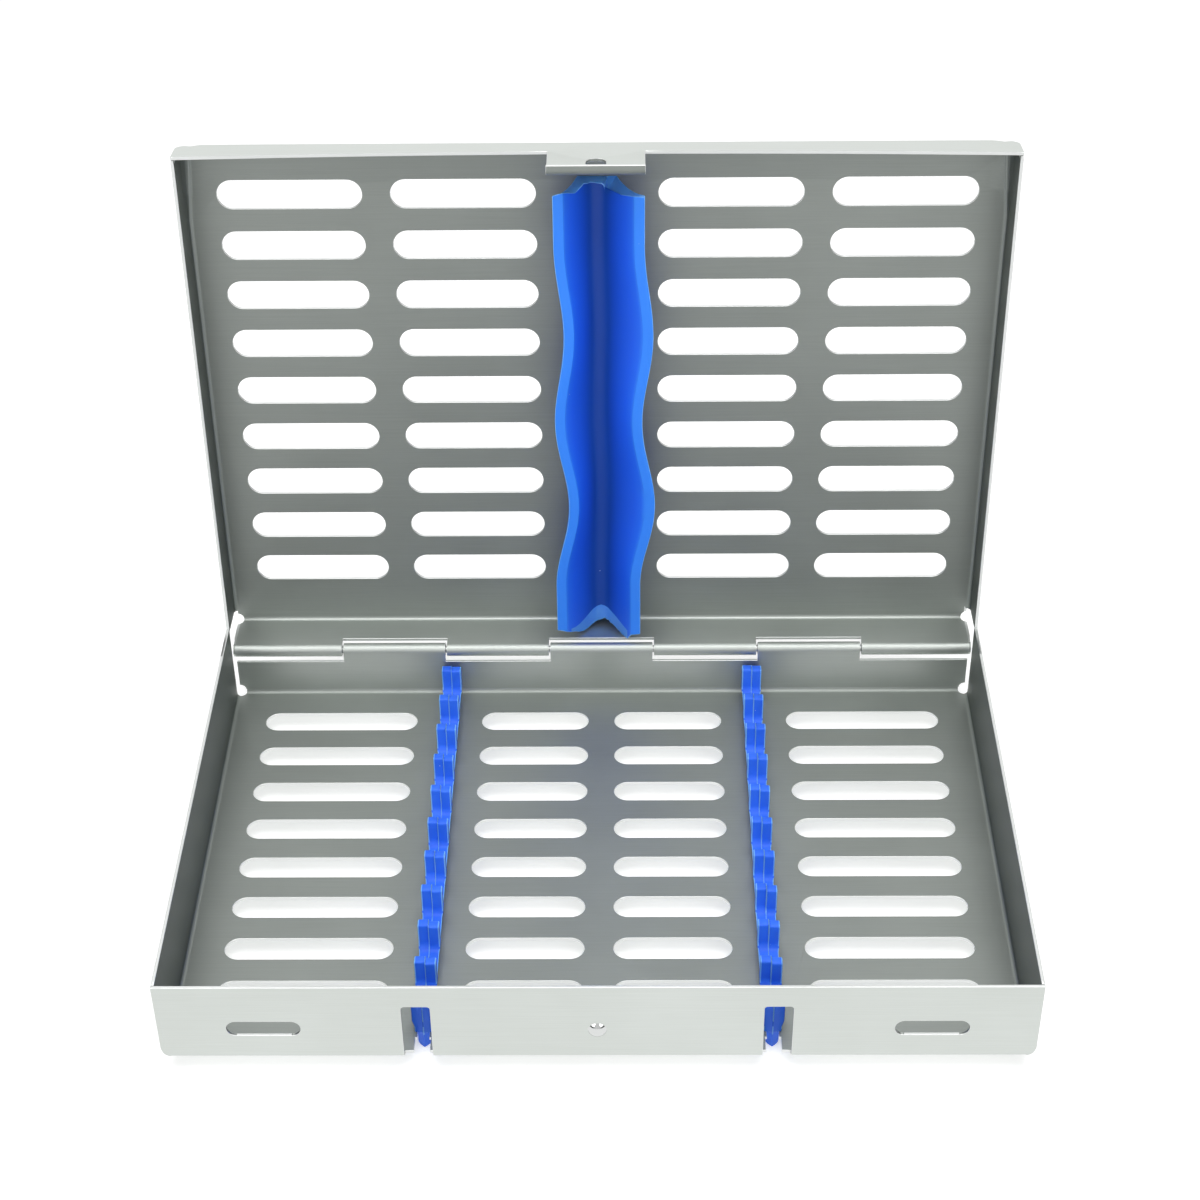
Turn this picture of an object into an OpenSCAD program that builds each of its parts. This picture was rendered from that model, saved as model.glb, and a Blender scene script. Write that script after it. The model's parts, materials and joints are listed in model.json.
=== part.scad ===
// Dental instrument cassette: a perforated stainless box with silicone holding strips.
// X runs across the cassette, +Y towards the hinge, +Z up. Sizes are in millimetres.
// The origin is at the bottom centre of the box round the whole cassette with its lid open.
// The lid stands open by lid_open. Its pieces are drawn closed and then swung open.

/* [Base tray] */
// Width over the side walls
base_w = 205; // [200:1:230]
// Depth over the front and back walls
base_d = 140; // [138:1:160]
// Height of the side and front walls
wall_h = 23.5; // [19:0.5:26]
// Thickness of the folded sheet
sheet_t = 0.8; // [0.6:0.1:1]
// Inside radius of every fold
fold_r = 1.2; // [0.8:0.1:1.6]
// Radius of the outer corners of the front wall and of the lid's front flange
corner_r = 4; // [3:0.5:6]
// Radius of the relief holes at the back corners
relief_r = 1.8; // [1.2:0.1:2.2]
// Gap between the ends of the back wall and the side walls
end_slit = 0.7; // [0.5:0.1:1.5]
// Seam between the front wall and the side walls tucked behind it
seam = 0.15; // [0.1:0.05:0.3]

/* [Base floor slots] */
// Rows of slots in the floor
floor_rows = 8; // [4:1:8]
// Distance between the rows
floor_pitch = 14.9; // [12:0.1:15.5]
// First row, measured from the inside of the back wall
floor_first = 13.5; // [11:0.5:15]
// Width of a floor slot
floor_slot_w = 7.3; // [4:0.1:9]
// Length of a slot in the outer columns
floor_outer_len = 41.6; // [20:0.1:44]
// Length of a slot in the inner columns
floor_inner_len = 29.2; // [15:0.1:31]
// Middle of an outer column, measured from the side wall's outer face
floor_outer_in = 31; // [28:0.25:34]
// Middle of an inner column, measured from the middle of the base
floor_inner_at = 18.2; // [17.5:0.05:20]

/* [Front wall] */
// Length of the two side holes
front_hole_len = 17.3; // [8:0.1:22]
// Height of the two side holes
front_hole_h = 4.5; // [3:0.1:6]
// Height of their middle above the underside of the floor
front_hole_z = 10.2; // [7:0.1:12]
// Middle of a side hole, measured from the end of the wall
front_hole_in = 24.8; // [18:0.1:30]
// Middle of a strip's window, measured from the middle of the wall
window_at = 42; // [41.5:0.1:43]
// Width of the windows that the base strips slide through
window_w = 6.7; // [6.5:0.1:8]
// Height of those windows
window_h = 17.2; // [12:0.1:17.5]
// Radius of the windows' upper corners
window_r = 0.8; // [0.4:0.1:1.5]

/* [Hinge] */
// Height of the hinge axis above the underside of the floor
hinge_z = 14; // [12:0.5:16]
// Diameter of the hinge pin
pin_d = 2; // [1.5:0.1:2.5]
// Running clearance round the pin, on the radius
pin_clear = 0.05; // [0.03:0.01:0.1]
// Knuckles along the hinge, the first and the last on the lid
knuckles = 7; // [5:2:7]
// Pitch of the inner knuckles, the outer two take what is left
knuckle_pitch = 28.6; // [27:0.1:29]
// Gap between neighbouring knuckles
knuckle_gap = 0.4; // [0.2:0.1:0.8]
// Open seam where a rolled knuckle comes back to its leaf
roll_gap = 0.5; // [0.3:0.1:0.8]
// Clearance cut into each leaf opposite the other leaf's knuckles
leaf_clear = 1.8; // [0.8:0.1:2.4]

/* [Lid] */
// How far the lid stands open, in degrees from closed
lid_open = 93; // [91:1:100]
// Height of the lid's top above the hinge axis
lid_rise = 13.5; // [12:0.5:15]
// Height of the flange round the lid
flange_h = 11.4; // [9:0.1:11.5]
// Gap between the closed flange and the base walls
flange_gap = 0.3; // [0.2:0.1:0.5]
// Where the side flanges start, measured from the hinge axis
flange_start = 4.7; // [4:0.1:8]
// Rows of slots in the lid
lid_rows = 9; // [4:1:9]
// Distance between the rows
lid_pitch = 13.7; // [11:0.1:14.2]
// First row, measured from the hinge axis
lid_first = 19; // [14:0.5:20]
// Width of a lid slot
lid_slot_w = 7.6; // [4:0.1:9]
// Length of a lid slot
lid_slot_len = 36.3; // [20:0.1:38]
// Middle of an outer column, measured from the middle of the lid
lid_outer_at = 76.9; // [74:0.1:80]
// Middle of an inner column, measured from the middle of the lid
lid_inner_at = 33.5; // [31:0.1:36]

/* [Latch] */
// Width of the latch tab
tab_w = 23.8; // [16:0.1:32]
// Depth of the lid's top edge to the tab's end
tab_reach = 24.4; // [22.5:0.1:25]
// Length of the finger lip that is turned out at the tab's end
lip_len = 3; // [2.5:0.1:5]
// Diameter of the latch hole in the tab
latch_hole_d = 5; // [4.8:0.1:6]
// Diameter of the stud's domed head
stud_d = 4.4; // [3.5:0.1:4.5]
// How far the dome stands out of the front wall
stud_rise = 1; // [0.7:0.1:1.2]
// Diameter of the stud's shank
stud_shank_d = 2.4; // [1.8:0.1:3]
// Height of the stud above the underside of the floor
stud_z = 9.6; // [8.5:0.1:10]
// Thickness of the stud's riveted end inside the wall
stud_tail_t = 0.6; // [0.4:0.1:1]

/* [Base strips] */
// Middle of a base strip, measured from the middle of the base
strip_at = 41.4; // [41.2:0.1:42.2]
// Width of a base strip over its teeth
strip_w = 5.3; // [4.4:0.1:5.6]
// Width of the strip's foot on the floor
strip_foot_w = 4.3; // [3.6:0.1:4.4]
// Height over which the foot widens to the teeth
strip_flare_h = 3.4; // [2:0.1:5]
// Height of the teeth above the floor
strip_h = 10.2; // [8:0.1:10.8]
// Height of the strip's back below the teeth
strip_back_h = 3; // [2:0.1:4]
// Instrument notches along a strip
notches = 10; // [5:1:10]
// Distance between the notches
notch_pitch = 12.7; // [11:0.1:12.7]
// Thickness of a tooth
tooth_t = 2.6; // [2:0.1:4]
// Radius at the bottom corners of a notch
notch_r = 2; // [1:0.1:3]
// Radius of the upper corners of the teeth
tooth_r = 0.6; // [0.3:0.1:0.9]
// Gap between the strip's front end and the inside of the front wall
strip_front = 7.2; // [5:0.1:8]
// Width of the neck that passes through the floor
neck_w = 2.4; // [1.4:0.1:2.5]
// Width of the bead under the floor
bead_w = 3.2; // [3.1:0.1:3.6]
// How far the bead hangs below the underside of the floor
bead_drop = 4.4; // [3.5:0.1:6]
// Width of the flat that the bead rests on
bead_flat = 1.6; // [1:0.1:2]
// Clearance between silicone and sheet
soft_clear = 0.25; // [0.2:0.05:0.4]

/* [Lid strip] */
// Height of the lid strip over the inside of the lid
vee_h = 12.6; // [9:0.1:13]
// Half width at the root
vee_root = 4.6; // [3.5:0.1:5.5]
// Half width where the lips begin
vee_knee = 8.6; // [7:0.1:9.5]
// Half width over the lips
vee_lip = 11.4; // [10.5:0.1:12]
// Width of a lip's front face
lip_w = 2.5; // [1.5:0.1:3]
// Solid thickness between the root and the bottom of the trough
vee_web = 3.2; // [2:0.1:5]
// Gap between the strip's front end and the lid's front edge
vee_front = 9; // [8:0.5:15]
// Gap between the strip's rear end and the hinge axis
vee_rear = 4.8; // [4:0.1:12]
// Length of one wave of the lips
wave_len = 50; // [40:1:80]
// Distance of a wave's crest from the hinge axis
wave_at = 46; // [20:1:60]
// Sideways travel of the lips, either way
wave_amp = 1.7; // [0:0.1:2]
// How far the middle of the waves lies to the right of the strip's root
wave_mid = 1.5; // [0:0.1:2]
// How far the strip's slot in the lid stops short of the strip's ends
neck_short = 4; // [3:0.5:8]

/* [Hidden] */

$fn = 48;
EPS = 0.01;
STEEL = [0.62, 0.64, 0.63];
POLISHED = [0.80, 0.81, 0.81];
SILICONE = [0.13, 0.35, 0.92];

// Sheet metal
fold_out = fold_r + sheet_t;
front_y = -base_d / 2;
back_y = base_d / 2;

// Hinge, whose pin lies against the outer face of the back wall
bore_r = pin_d / 2 + pin_clear;
roll_r = bore_r + sheet_t;
hinge_y = back_y + bore_r;
side_end_y = hinge_y - roll_r - 1.3;
back_half_w = base_w / 2 - sheet_t - end_slit;
hinge_half_w = base_w / 2 - 0.6;
leaf_edge = roll_r + leaf_clear;

// Lid, as it lies closed
lid_top = hinge_z + lid_rise;
lid_half_w = base_w / 2 + flange_gap + sheet_t;
lid_front_y = front_y - flange_gap - sheet_t;
lid_in = lid_top - sheet_t;
tab_end = lid_top - tab_reach;

// Base strips
neck_slot_w = neck_w + 2 * soft_clear;
notch_w = notch_pitch - tooth_t;
strip_len = notches * notch_pitch + tooth_t;
strip_y0 = front_y + sheet_t + strip_front;
strip_top = sheet_t + strip_h;

// Lid strip
bead_r = bead_w / 2;
vee_y0 = lid_front_y + vee_front;
vee_y1 = hinge_y - vee_rear;
vee_steps = 34;

// Middle of the box round everything: the dome in front, the lid strip's bead behind
front_end = front_y - stud_rise;
bead_out = lid_rise + soft_clear + bead_r;
bead_up = hinge_y - vee_y0 - neck_short;
back_end = hinge_y + bead_out * sin(lid_open) - bead_up * cos(lid_open);
middle_y = (front_end + back_end) / 2;

// Outline of a channel with round bottom corners, open at the top
module channel_2d(w, h, r) {
    translate([-w / 2, r]) square([w, h - r]);
    translate([-w / 2 + r, 0]) square([w - 2 * r, h / 2]);
    for (side = [-1, 1])
        translate([side * (w / 2 - r), r]) circle(r);
}

// Folded sheet seen end on: the wall stands at the left, the floor runs to the right
module fold_2d(reach, h) {
    translate([fold_out, 0]) square([reach - fold_out, sheet_t]);
    translate([0, fold_out]) square([sheet_t, h - fold_out]);
    intersection() {
        square(fold_out);
        translate([fold_out, fold_out]) difference() {
            circle(fold_out);
            circle(fold_r);
        }
    }
}

// Extrudes an outline of X and Z along Y, from y0 to y1
module along_y(y0, y1) {
    translate([0, y1, 0]) rotate([90, 0, 0]) linear_extrude(y1 - y0) children();
}

// Extrudes an outline of Y and Z along X, over both halves of a width
module along_x(half_w) {
    translate([-half_w, 0, 0]) rotate([90, 0, 90]) linear_extrude(2 * half_w) children();
}

// Through cut with round ends, flat in X and Y
module slot_cut(len, w) {
    translate([-(len - w) / 2, -w / 2, -2 * sheet_t]) cube([len - w, w, 5 * sheet_t]);
    for (side = [-1, 1])
        translate([side * (len - w) / 2, 0, -2 * sheet_t]) cylinder(d = w, h = 5 * sheet_t);
}

// Channel of folded sheet with its two side walls, floor down
module side_channel(half_w, h, y0, y1) {
    along_y(y0, y1) difference() {
        channel_2d(2 * half_w, h, fold_out);
        translate([0, sheet_t]) channel_2d(2 * (half_w - sheet_t), h, fold_r);
    }
}

// Front wall of folded sheet with rounded lower corners, outer face at y = 0
module front_fold(half_w, h, reach) {
    difference() {
        along_x(half_w) fold_2d(reach, h);
        for (side = [-1, 1]) {
            translate([side * half_w, 0, 0]) corner_cut(side, reach);
            translate([side * half_w, reach / 2 + sheet_t, 0])
                cube([2 * fold_out, reach, 2 * h + 1], center = true);
        }
    }
}

// Takes the square corner off the end of a front wall and leaves it round
module corner_cut(side, reach) {
    difference() {
        translate([-corner_r, -1, -1]) cube([2 * corner_r, reach + 2, corner_r + 1]);
        translate([-side * corner_r, -2, corner_r]) rotate([-90, 0, 0])
            cylinder(r = corner_r, h = reach + 4);
        translate([-side * corner_r - (side > 0 ? corner_r : 0), -2, -2])
            cube([corner_r, reach + 4, corner_r + 3]);
    }
}

// Relief holes where a back wall and a side wall fold up from the same corner
module relief_cuts(half_w, y) {
    for (side = [-1, 1])
        translate([side * (half_w - sheet_t - relief_r * 0.4), y, 0]) {
            translate([0, -sheet_t - 0.1, -1]) cylinder(r = relief_r, h = fold_out + 0.7);
            translate([0, 1, fold_out - 0.4]) rotate([90, 0, 0])
                cylinder(r = relief_r - 0.15, h = fold_out + 0.6);
        }
}

// Rolled knuckle round the hinge axis, drawn for the base: its leaf comes up from below
module knuckle(len) {
    translate([-len / 2, 0, 0]) rotate([90, 0, 90]) linear_extrude(len) {
        difference() {
            circle(roll_r);
            circle(bore_r);
            translate([-roll_r - 1, -roll_r - 1]) square([roll_r + 1 - bore_r + roll_gap, roll_r + 1]);
        }
        translate([-roll_r, -leaf_edge - 0.5]) square([sheet_t, leaf_edge + 0.5]);
    }
}

// Where knuckle i begins, counted along the hinge
function knuckle_end(i) = i == 0 ? -hinge_half_w :
    i == knuckles ? hinge_half_w : (i - knuckles / 2) * knuckle_pitch;

// Every knuckle of one leaf: the lid has the even places and the base the odd ones
module knuckle_row(first) {
    for (i = [first : 2 : knuckles - 1])
        let (x0 = knuckle_end(i), x1 = knuckle_end(i + 1))
            translate([(x0 + x1) / 2, hinge_y, hinge_z]) knuckle(x1 - x0 - knuckle_gap);
}

// Perforated floor with folded walls, and the rolled knuckles on its back wall
module base_tray() {
    color(STEEL) {
        difference() {
            union() {
                difference() {
                    side_channel(base_w / 2, wall_h, front_y + sheet_t + seam, side_end_y);
                    translate([-base_w / 2 + fold_out, front_y, -1])
                        cube([base_w - 2 * fold_out, fold_out, 2]);
                }
                translate([0, front_y, 0]) front_fold(base_w / 2, wall_h, 12);
                translate([0, back_y, 0]) mirror([0, 1, 0])
                    along_x(back_half_w) fold_2d(12, hinge_z - leaf_edge);
            }
            relief_cuts(base_w / 2, back_y);
            floor_slots();
            front_cuts();
        }
        knuckle_row(1);
    }
}

// Four columns of slots, and the two long slots for the necks of the strips
module floor_slots() {
    first_y = back_y - sheet_t - floor_first;
    for (row = [0 : floor_rows - 1], side = [-1, 1])
        translate([0, first_y - row * floor_pitch, 0]) {
            translate([side * (base_w / 2 - floor_outer_in), 0, 0])
                slot_cut(floor_outer_len, floor_slot_w);
            translate([side * floor_inner_at, 0, 0]) slot_cut(floor_inner_len, floor_slot_w);
        }
    for (side = [-1, 1])
        translate([side * strip_at, 0, 0]) {
            translate([-neck_slot_w / 2, front_y - 1, -1])
                cube([neck_slot_w, strip_y0 + strip_len - front_y + 1 + soft_clear, 2]);
            translate([-bead_w / 2 - soft_clear, front_y - 1, -1])
                cube([bead_w + 2 * soft_clear, strip_front, 2]);
        }
}

// Side holes, strip windows and the stud's hole in the front wall
module front_cuts() {
    for (side = [-1, 1]) {
        translate([side * (base_w / 2 - front_hole_in), front_y, front_hole_z]) rotate([90, 0, 0])
            slot_cut(front_hole_len, front_hole_h);
        translate([side * window_at, front_y, 0]) window_cut();
    }
    translate([0, front_y - 1, stud_z]) rotate([-90, 0, 0])
        cylinder(r = stud_shank_d / 2 + pin_clear, h = sheet_t + 2);
}

// Window with round upper corners, open through the fold below it
module window_cut() {
    translate([-window_w / 2, -1, -1]) cube([window_w, 1 + fold_out, window_h + 1 - window_r]);
    translate([-window_w / 2 + window_r, -1, 0]) cube([window_w - 2 * window_r, 1 + fold_out, window_h]);
    for (side = [-1, 1])
        translate([side * (window_w / 2 - window_r), -1, window_h - window_r]) rotate([-90, 0, 0])
            cylinder(r = window_r, h = 1 + fold_out);
}

// Domed rivet that the tab snaps over
module latch_stud() {
    dome_r = (pow(stud_d / 2, 2) + pow(stud_rise, 2)) / (2 * stud_rise);
    color(POLISHED) translate([0, front_y, stud_z]) rotate([-90, 0, 0]) {
        intersection() {
            translate([0, 0, dome_r - stud_rise]) sphere(dome_r, $fn = 96);
            translate([0, 0, -stud_rise - 1]) cylinder(d = stud_d, h = stud_rise + 1);
        }
        translate([0, 0, -EPS]) cylinder(d = stud_shank_d, h = sheet_t + 2 * EPS);
        translate([0, 0, sheet_t]) cylinder(d = stud_shank_d + 1.6, h = stud_tail_t);
    }
}

// Swings what is drawn closed round the hinge axis
module swung_open() {
    translate([0, hinge_y, hinge_z]) rotate([-lid_open, 0, 0])
        translate([0, -hinge_y, -hinge_z]) children();
}

// Perforated lid with flanges outside the base walls, latch tab and rolled knuckles
module lid() {
    color(STEEL) swung_open() {
        difference() {
            translate([0, 0, lid_top]) mirror([0, 0, 1]) {
                difference() {
                    side_channel(lid_half_w, flange_h, lid_front_y + sheet_t + seam,
                                 hinge_y - flange_start);
                    translate([-lid_half_w + fold_out, lid_front_y, -1])
                        cube([2 * (lid_half_w - fold_out), fold_out, 2]);
                }
                translate([0, lid_front_y, 0]) front_fold(lid_half_w, flange_h, 12);
                translate([0, back_y, 0]) mirror([0, 1, 0])
                    along_x(hinge_half_w) fold_2d(12, lid_rise - leaf_edge);
                tab();
            }
            translate([0, 0, lid_top]) mirror([0, 0, 1]) relief_cuts(lid_half_w, back_y);
            lid_slots();
            translate([0, lid_front_y - 1, stud_z]) rotate([-90, 0, 0])
                cylinder(d = latch_hole_d, h = sheet_t + 2);
        }
        translate([0, 0, 2 * hinge_z]) mirror([0, 0, 1]) knuckle_row(0);
    }
}

// Tab below the front flange, its end turned outwards as a finger lip
module tab() {
    translate([-tab_w / 2, lid_front_y, flange_h - 1])
        cube([tab_w, sheet_t, tab_reach - flange_h + 1 - fold_out]);
    translate([0, lid_front_y + sheet_t, tab_reach]) rotate([180, 0, 0])
        along_x(tab_w / 2) fold_2d(lip_len, fold_out + EPS);
}

// Four columns of slots in the lid, and the slot for the strip's neck
module lid_slots() {
    for (row = [0 : lid_rows - 1], side = [-1, 1], at = [lid_outer_at, lid_inner_at])
        translate([side * at, hinge_y - lid_first - row * lid_pitch, lid_in])
            slot_cut(lid_slot_len, lid_slot_w);
    translate([-neck_slot_w / 2, vee_y0 + neck_short, lid_in - 1])
        cube([neck_slot_w, vee_y1 - vee_y0 - 2 * neck_short, sheet_t + 2]);
}

// Plain wire that runs through all the knuckles
module hinge_pin() {
    color(POLISHED) translate([-hinge_half_w, hinge_y, hinge_z]) rotate([0, 90, 0])
        cylinder(d = pin_d, h = 2 * hinge_half_w);
}

// Side view of the comb: a low back with square teeth, rounded at their upper corners
module comb_2d() {
    difference() {
        union() {
            square([strip_len, strip_back_h + notch_r]);
            for (i = [0 : notches])
                translate([i * notch_pitch, 0]) {
                    square([tooth_t, strip_h - tooth_r]);
                    translate([tooth_r, 0]) square([tooth_t - 2 * tooth_r, strip_h]);
                    for (x = [tooth_r, tooth_t - tooth_r])
                        translate([x, strip_h - tooth_r]) circle(tooth_r, $fn = 24);
                }
        }
        for (i = [0 : notches - 1])
            translate([i * notch_pitch + tooth_t, strip_back_h]) {
                translate([notch_r, 0]) square([notch_w - 2 * notch_r, strip_h]);
                translate([0, notch_r]) square([notch_w, strip_h]);
                for (x = [notch_r, notch_w - notch_r])
                    translate([x, notch_r]) circle(notch_r, $fn = 32);
            }
    }
}

// End view of the strip above the floor: a foot that flares out to the teeth
module strip_2d() {
    translate([0, sheet_t]) polygon([
        [strip_foot_w / 2, 0], [strip_foot_w / 2, strip_flare_h / 2], [strip_w / 2, strip_flare_h],
        [strip_w / 2, strip_h + 1], [-strip_w / 2, strip_h + 1], [-strip_w / 2, strip_flare_h],
        [-strip_foot_w / 2, strip_flare_h / 2], [-strip_foot_w / 2, 0]
    ]);
}

// End view of the neck and of the bead under the floor, cut flat where it rests
module bead_2d() {
    centre_z = -bead_drop + sqrt(pow(bead_r, 2) - pow(bead_flat / 2, 2));
    translate([-neck_w / 2, -bead_drop / 2]) square([neck_w, bead_drop / 2 + sheet_t + 1]);
    difference() {
        union() {
            translate([-bead_r, centre_z]) square([bead_w, -soft_clear - centre_z]);
            translate([0, centre_z]) circle(bead_r);
        }
        translate([-bead_r, -bead_drop - bead_r]) square([bead_w, bead_r]);
    }
}

// Comb of instrument notches with its neck through the floor
module base_strip(side) {
    color(SILICONE) translate([side * strip_at, 0, 0]) {
        intersection() {
            translate([0, strip_y0, sheet_t]) along_x(strip_w / 2) comb_2d();
            along_y(strip_y0 - 1, strip_y0 + strip_len + 1) strip_2d();
        }
        along_y(strip_y0, strip_y0 + strip_len) bead_2d();
    }
}

module base_strip_left() {
    base_strip(-1);
}

module base_strip_right() {
    base_strip(1);
}

// Right half of the lid strip's section, as [half width, height over the lid]
VEE = [[vee_root, 0], [(vee_root + vee_knee) / 2 - 0.3, vee_h * 0.4], [vee_knee, vee_h * 0.72],
       [vee_lip, vee_h - 1.1], [vee_lip - 0.2, vee_h], [vee_lip - lip_w, vee_h - 0.2],
       [vee_knee * 0.55, vee_h * 0.62], [1.6, vee_web + 0.7], [0, vee_web]];
VEE_RING = concat(VEE, [for (i = [len(VEE) - 2 : -1 : 0]) [-VEE[i][0], VEE[i][1]]]);

// Sideways shift of the section: nothing at the root and most at the lips
function sway(y, h) = let (u = hinge_y - y, swing = wave_amp * (1.25 - 0.45 * u / base_d))
    pow(h / vee_h, 1.5) * (wave_mid + swing * cos(360 * (u - wave_at) / wave_len));

// One ring of points of the lid strip, hanging from the inside of the closed lid
function vee_ring(y) = [for (p = VEE_RING) [p[0] + sway(y, p[1]), y, lid_in - p[1]]];

// One half of an end face of the lid strip, as triangles of ring points
VEE_END = [[0, 1, 7], [0, 7, 8], [1, 2, 6], [1, 6, 7], [2, 3, 5], [2, 5, 6], [3, 4, 5]];

// Trough of soft silicone whose two wavy lips press on the instruments
module lid_strip() {
    n = len(VEE_RING);
    last = n - 1;
    rings = [for (i = [0 : vee_steps]) each vee_ring(vee_y0 + (vee_y1 - vee_y0) * i / vee_steps)];
    sides = [for (i = [0 : vee_steps - 1], j = [0 : n - 1], k = [0, 1])
        let (a = i * n + j, b = i * n + (j + 1) % n)
        k == 0 ? [b, a, a + n] : [b, a + n, b + n]];
    front = concat([[0, last / 2, last]], VEE_END,
                   [for (f = VEE_END) [last - f[2], last - f[1], last - f[0]]]);
    back = [for (f = front) [f[2] + vee_steps * n, f[1] + vee_steps * n, f[0] + vee_steps * n]];
    color(SILICONE) swung_open() {
        polyhedron(rings, concat(sides, front, back), convexity = 6);
        translate([-neck_w / 2, vee_y0 + neck_short + soft_clear, lid_in - 0.5])
            cube([neck_w, vee_y1 - vee_y0 - 2 * neck_short - 2 * soft_clear,
                  0.5 + sheet_t + soft_clear + 0.5]);
        translate([0, 0, lid_top + soft_clear]) along_y(vee_y0 + neck_short, vee_y1 - neck_short)
            intersection() {
                circle(bead_w / 2);
                translate([-bead_w / 2, 0]) square([bead_w, bead_w / 2]);
            }
    }
}

// Moves what is drawn from the middle of the base floor to the origin of the whole
module placed() {
    translate([0, -middle_y, bead_drop]) children();
}

placed() base_tray();
placed() latch_stud();
placed() lid();
placed() hinge_pin();
placed() base_strip_left();
placed() base_strip_right();
placed() lid_strip();
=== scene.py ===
# %% [markdown]
# # A dental instrument cassette, dressed for its portrait
#
# The object is a shallow steel box for hand instruments. It is washed and steamed with the instruments in
# it, so both halves are full of slots, and three blue silicone strips keep the instruments apart. The stiff
# shapes were built in OpenSCAD and packed for MuJoCo. This notebook loads that model as a fixed frame,
# gives every piece the small forms and the finish that a camera would see, and sets up light, floor and
# camera.
#
# All lengths below are typed in millimetres and turned to metres once, because Blender works in metres here.

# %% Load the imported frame
import json
import math
import random
import bmesh
import bpy
from mathutils import Matrix, Quaternion, Vector
from mathutils.bvhtree import BVHTree


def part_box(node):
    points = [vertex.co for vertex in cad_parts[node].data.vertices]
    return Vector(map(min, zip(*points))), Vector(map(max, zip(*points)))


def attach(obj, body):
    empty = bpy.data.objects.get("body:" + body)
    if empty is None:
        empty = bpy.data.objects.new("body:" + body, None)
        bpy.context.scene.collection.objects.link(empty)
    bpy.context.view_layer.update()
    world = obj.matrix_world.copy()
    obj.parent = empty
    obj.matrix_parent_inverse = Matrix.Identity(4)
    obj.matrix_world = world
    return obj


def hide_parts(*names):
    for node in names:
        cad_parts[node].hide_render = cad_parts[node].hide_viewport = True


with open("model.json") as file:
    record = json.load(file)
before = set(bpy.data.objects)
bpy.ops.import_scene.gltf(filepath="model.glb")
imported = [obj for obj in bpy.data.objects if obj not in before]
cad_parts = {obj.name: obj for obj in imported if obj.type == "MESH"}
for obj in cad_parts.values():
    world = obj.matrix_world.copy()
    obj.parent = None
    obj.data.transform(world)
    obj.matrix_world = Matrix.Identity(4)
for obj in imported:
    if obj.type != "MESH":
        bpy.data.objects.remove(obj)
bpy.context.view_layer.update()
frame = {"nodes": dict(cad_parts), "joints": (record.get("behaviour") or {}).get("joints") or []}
mm = 0.001

# %% [markdown]
# ## Where things are
#
# The hinge axis is the most useful line on this object: the lid was drawn closed and then swung open round
# it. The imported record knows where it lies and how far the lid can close, so both are read from there
# instead of being typed again. The silicone strips are placed by the boxes of the CAD pieces that they
# stand for.

# %% Read the hinge and the boxes
hinge = next(j for j in frame["joints"] if j["name"] == "lid_hinge")
hinge_at = Vector(hinge["pos_m"])
lid_angle = -math.radians(hinge["range_deg"][0])


def swing_open(bm):
    """Turns what was drawn for a closed lid to where the open lid is at rest."""
    turn = Matrix.Rotation(-lid_angle, 3, "X")
    bmesh.ops.rotate(bm, cent=hinge_at, matrix=turn, verts=bm.verts)


def swing_closed(bm):
    """The other way round, for measuring on the lid in its own square directions."""
    turn = Matrix.Rotation(lid_angle, 3, "X")
    bmesh.ops.rotate(bm, cent=hinge_at, matrix=turn, verts=bm.verts)


print("hinge axis at", [round(v / mm, 2) for v in hinge_at], "mm, open by", round(math.degrees(lid_angle), 1))

# %% [markdown]
# ## Small tools
#
# A finished piece is a mesh whose place is in its points, so its object stays at the origin. Colours are
# typed as sRGB hex, the way a colour picker shows them, and Blender's shaders want linear light, so one
# function turns the first into the second. Another adds a node with its settings and links, so that a
# material can be read from top to bottom like a recipe.

# %% Helpers for meshes and materials
def finish_piece(bm, name, body, materials, stands_for=(), smooth_deg=35):
    """Makes an object of a bmesh, with soft shading and its finish, and hands it to its body."""
    mesh = bpy.data.meshes.new(name)
    bm.to_mesh(mesh)
    bm.free()
    for material in materials:
        mesh.materials.append(material)
    mesh.shade_smooth()
    mesh.set_sharp_from_angle(angle=math.radians(smooth_deg))
    piece = bpy.data.objects.new(name, mesh)
    bpy.context.scene.collection.objects.link(piece)
    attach(piece, body)
    if stands_for:
        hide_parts(*stands_for)
    print(name, len(mesh.polygons), "faces, rides on", body)
    return piece


def linear(hex_colour, alpha=1.0):
    """sRGB hex to linear RGBA."""
    channels = [int(hex_colour[i:i + 2], 16) / 255 for i in (1, 3, 5)]
    return tuple(c / 12.92 if c <= 0.04045 else ((c + 0.055) / 1.055) ** 2.4 for c in channels) + (alpha,)


def add(tree, kind, settings=None, **links):
    """Adds a node. Settings are its own values, links are socket values or the outputs that feed them."""
    node = tree.nodes.new(kind)
    for key, value in (settings or {}).items():
        setattr(node, key, value)
    for key, value in links.items():
        socket = node.inputs[int(key[1:])] if key[0] == "_" else node.inputs[key.replace("_", " ")]
        if isinstance(value, bpy.types.NodeSocket):
            tree.links.new(value, socket)
        else:
            socket.default_value = value
    return node


def new_material(name):
    """An empty node material and its tree."""
    material = bpy.data.materials.new(name)
    material.use_nodes = True
    material.node_tree.nodes.clear()
    return material, material.node_tree


def close_material(tree, shader):
    """Joins the last shader to the material's output."""
    output = add(tree, "ShaderNodeOutputMaterial")
    tree.links.new(shader.outputs[0], output.inputs["Surface"])


def ramp(tree, source, stops):
    """A colour ramp over a 0 to 1 value, from (place, hex) pairs in rising order."""
    node = add(tree, "ShaderNodeValToRGB", Fac=source)
    elements = node.color_ramp.elements
    elements[0].position, elements[-1].position = stops[0][0], stops[-1][0]
    for place, _ in stops[1:-1]:
        elements.new(place)
    for element, (_, colour) in zip(elements, stops):
        element.color = linear(colour)
    return node.outputs["Color"]


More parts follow.
